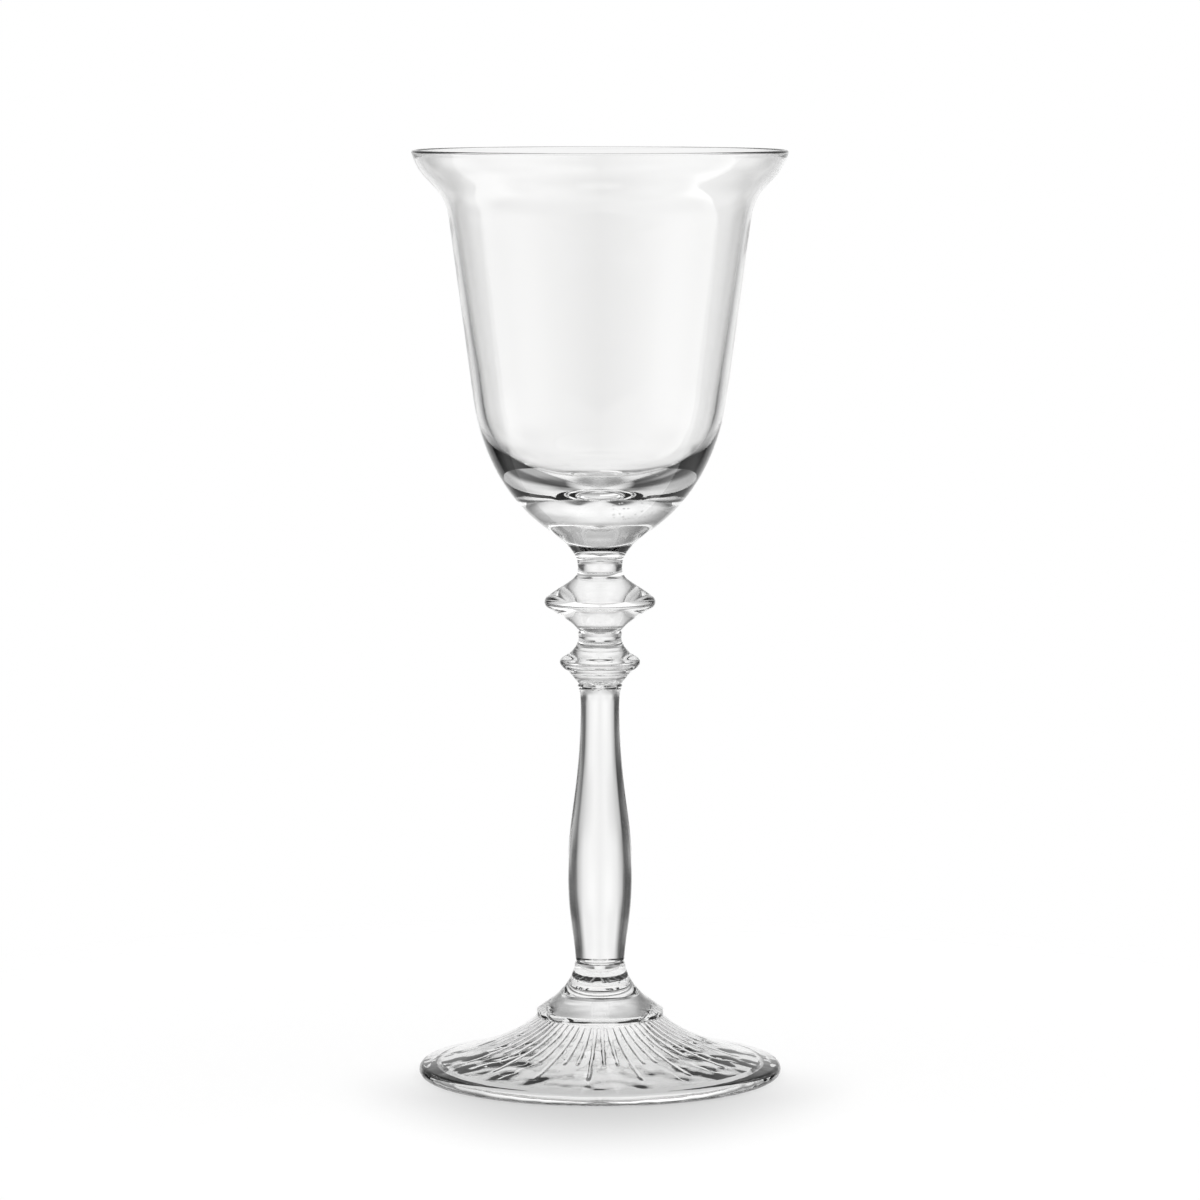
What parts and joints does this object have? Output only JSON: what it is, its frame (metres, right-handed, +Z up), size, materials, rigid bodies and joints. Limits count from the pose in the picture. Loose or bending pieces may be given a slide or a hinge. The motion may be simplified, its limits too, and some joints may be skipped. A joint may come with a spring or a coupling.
{
  "type": "cocktail glass",
  "caption": "Stemmed cocktail glass: flared bell bowl with a thick base, knopped neck, swelling stem, collar and a wide foot with a moulded sunburst underneath.",
  "frame": {"origin": "on the upright axis, in the plane that the foot stands on", "axes": "+Z up along the stem; the glass is round about it, and -Y is the front in the picture"},
  "size_m": [0.0722, 0.0722, 0.179],
  "materials": {
    "clear_glass": "clear, fire-polished"
  },
  "bodies": {
    "root": {"bowl": "clear_glass", "large_knop": "clear_glass", "small_knop": "clear_glass", "stem": "clear_glass", "foot_collar": "clear_glass", "foot": "clear_glass"}
  },
  "joints": []
}
